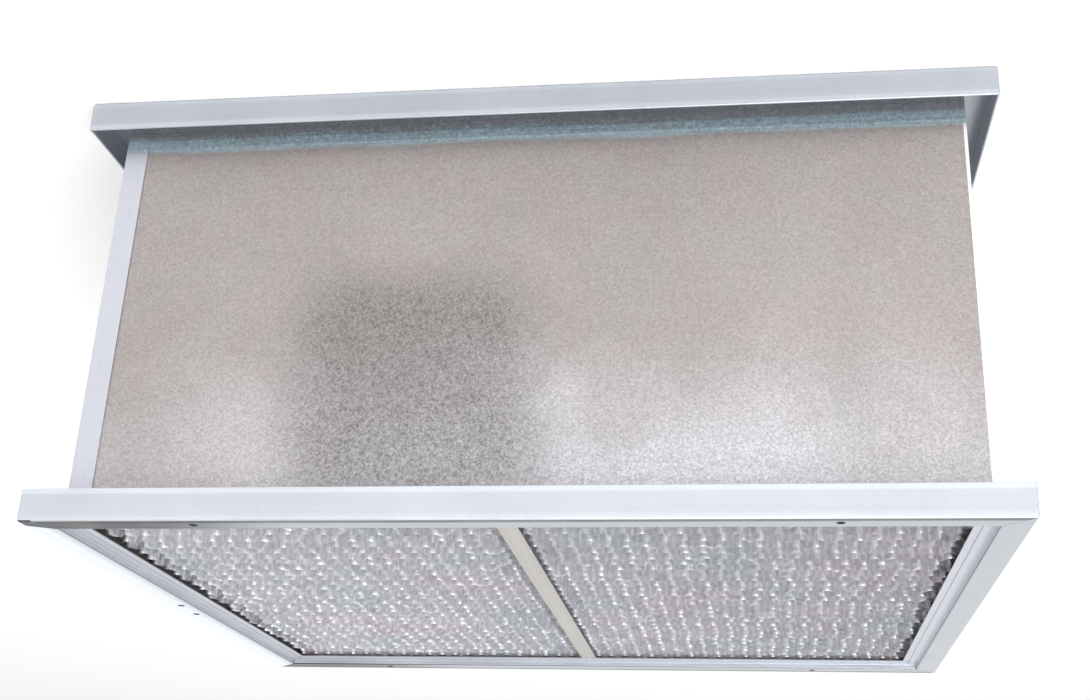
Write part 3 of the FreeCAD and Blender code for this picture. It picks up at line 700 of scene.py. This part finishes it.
def add_rivet(bm, centre, head_radius, head_level, tail_level, outward):
    """A domed head, its shank and a peened tail, each a closed shell."""
    dome = 0.0010
    turned = Matrix.Translation((centre.x, centre.y, head_level - outward * dome))
    squash = Matrix.Diagonal((head_radius, head_radius, dome, 1.0))
    ball = bmesh.ops.create_uvsphere(bm, u_segments=24, v_segments=12, radius=1.0,
                                     matrix=turned @ squash)["verts"]
    parts = dict.fromkeys(face for vertex in ball for face in vertex.link_faces)
    edges = dict.fromkeys(edge for vertex in ball for edge in vertex.link_edges)
    cut = bmesh.ops.bisect_plane(bm, geom=[*ball, *edges, *parts], dist=1e-7,
                                 plane_co=(centre.x, centre.y, head_level - outward * dome),
                                 plane_no=(0.0, 0.0, -outward), clear_outer=True)
    rim = [item for item in cut["geom_cut"] if isinstance(item, bmesh.types.BMEdge)]
    bmesh.ops.holes_fill(bm, edges=rim)
    base = head_level - outward * dome
    shank = abs(base - tail_level)
    bmesh.ops.create_cone(bm, cap_ends=True, segments=24, radius1=0.0016, radius2=0.0016,
                          depth=shank, matrix=Matrix.Translation(
                              (centre.x, centre.y, (base + tail_level) / 2)))
    tail_depth = 0.0008
    tail = bmesh.ops.create_cone(bm, cap_ends=True, segments=24, radius1=0.0020, radius2=0.0020,
                                 depth=tail_depth, matrix=Matrix.Translation(
                                     (centre.x, centre.y, tail_level + outward * tail_depth / 2)))
    rims = dict.fromkeys(edge for vertex in tail["verts"] for edge in vertex.link_edges
                         if abs(edge.verts[0].co.z - edge.verts[1].co.z) < 1e-7)
    bmesh.ops.bevel(bm, geom=list(rims), offset=0.00025, segments=2, profile=0.5, material=-1,
                    affect="EDGES")


class FILTER_OT_rivets(bpy.types.Operator):
    """Set a domed rivet at each end of each centre strap"""

    bl_idname = "filter.rivets"
    bl_label = "Strap rivets"

    def execute(self, context):
        metal = rivet_material(context.scene.filter_steel)
        for face in FACES:
            name = face + "_strap_rivets"
            low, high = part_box(name)
            radius = (high.x - low.x) / 2
            outward = 1.0 if face == "upper" else -1.0
            head, tail = (high.z, low.z) if face == "upper" else (low.z, high.z)
            bm = bmesh.new()
            for y in (low.y + radius, high.y - radius):
                centre = Vector(((low.x + high.x) / 2, y, 0.0))
                add_rivet(bm, centre, radius, head, tail, outward)
            bmesh.ops.recalc_face_normals(bm, faces=bm.faces)
            piece = add_piece(face + "_rivets", mesh_of(bm, name, smooth=False))
            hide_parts(name)
            paint(piece, metal)
        return {"FINISHED"}


# ---- stage -----------------------------------------------------------------------------------
def add_softbox(name, power, size, place, target):
    light = bpy.data.lights.new(name, "AREA")
    light.shape = "RECTANGLE"
    light.size, light.size_y = size
    light.energy = power
    lamp = bpy.data.objects.new(name, light)
    look = (Vector(target) - Vector(place)).to_track_quat("-Z", "Y")
    lamp.matrix_world = Matrix.Translation(place) @ look.to_matrix().to_4x4()
    bpy.context.scene.collection.objects.link(lamp)


class FILTER_OT_stage(bpy.types.Operator):
    """Lay the pale floor, hang the softboxes and stand the camera"""

    bl_idname = "filter.stage"
    bl_label = "Stage"

    def execute(self, context):
        stage = context.scene.filter_stage
        bm = bmesh.new()
        bmesh.ops.create_grid(bm, x_segments=1, y_segments=1, size=stage.floor_size / 2)
        bmesh.ops.translate(bm, verts=bm.verts, vec=(0.0, 0.0, -0.0002))
        floor = bpy.data.objects.new("floor", mesh_of(bm, "floor"))
        context.scene.collection.objects.link(floor)
        pale = Shade("pale_floor", stage.floor_colour, 0.0, 0.9)
        pale.set("Base Color", pale.brightness(
            stage.floor_colour, pale.spread(pale.grain(1.5, 2.0), 0.3, 0.7, 0.985, 1.0)))
        paint(floor, pale.material)

        world = bpy.data.worlds.new("pale_room")
        world.use_nodes = True
        sky = world.node_tree.nodes["Background"]
        sky.inputs["Color"].default_value = (1.0, 1.0, 1.0, 1.0)
        way = world.node_tree.nodes.new("ShaderNodeTexCoord")
        split = world.node_tree.nodes.new("ShaderNodeSeparateXYZ")
        fade = world.node_tree.nodes.new("ShaderNodeMapRange")
        world.node_tree.links.new(way.outputs["Generated"], split.inputs[0])
        world.node_tree.links.new(split.outputs["Z"], fade.inputs["Value"])
        world.node_tree.links.new(fade.outputs["Result"], sky.inputs["Strength"])
        fade.inputs["From Min"].default_value = 0.25
        fade.inputs["From Max"].default_value = 0.8
        fade.inputs["To Min"].default_value = stage.sky_low
        fade.inputs["To Max"].default_value = stage.sky_high
        context.scene.world = world
        context.scene.view_settings.view_transform = "Standard"

        target = (0.0, 0.0, 0.15)
        add_softbox("front_softbox", stage.key_power, (2.4, 1.4), (-0.9, -2.3, 2.0),
                    (-0.2, -0.9, 0.0))
        add_softbox("top_softbox", stage.top_power, (2.0, 2.0), (-0.4, 0.3, 2.4), target)

        camera = bpy.data.cameras.new("camera")
        camera.sensor_width = 36.0
        camera.lens = stage.camera_lens
        camera.shift_x, camera.shift_y = stage.camera_shift
        camera.clip_end = 200.0
        stand = bpy.data.objects.new("camera", camera)
        back = -Vector(stage.camera_look).normalized()
        side = Vector(stage.camera_up).cross(back).normalized()
        turn = Matrix((side, back.cross(side), back)).transposed()
        stand.matrix_world = Matrix.Translation(stage.camera_place) @ turn.to_4x4()
        context.scene.collection.objects.link(stand)
        context.scene.camera = stand
        return {"FINISHED"}


# ---- panel and registration ------------------------------------------------------------------
STEPS = (FILTER_OT_steel, FILTER_OT_separators, FILTER_OT_pack, FILTER_OT_rivets, FILTER_OT_stage)
GROUPS = {
    "filter_steel": FilterSteelSettings,
    "filter_foil": FilterFoilSettings,
    "filter_pack": FilterPackSettings,
    "filter_stage": FilterStageSettings,
}


class FILTER_PT_sidebar(bpy.types.Panel):
    """Steps and settings of the filter"""

    bl_idname = "FILTER_PT_sidebar"
    bl_label = "Rigid Box Filter"
    bl_space_type = "VIEW_3D"
    bl_region_type = "UI"
    bl_category = "Filter"

    def draw(self, context):
        for step in STEPS:
            self.layout.operator(step.bl_idname)
        for group in GROUPS:
            box = self.layout.box()
            settings = getattr(context.scene, group)
            for key in settings.__annotations__:
                box.prop(settings, key)


CLASSES = (*GROUPS.values(), *STEPS, FILTER_PT_sidebar)


def register():
    for item in CLASSES:
        bpy.utils.register_class(item)
    for group, kind in GROUPS.items():
        setattr(bpy.types.Scene, group, PointerProperty(type=kind))


def unregister():
    for group in GROUPS:
        delattr(bpy.types.Scene, group)
    for item in reversed(CLASSES):
        bpy.utils.unregister_class(item)


def main():
    register()
    bpy.ops.filter.steel()
    bpy.ops.filter.separators()
    bpy.ops.filter.pack()
    bpy.ops.filter.rivets()
    bpy.ops.filter.stage()


if __name__ == "__main__":
    main()
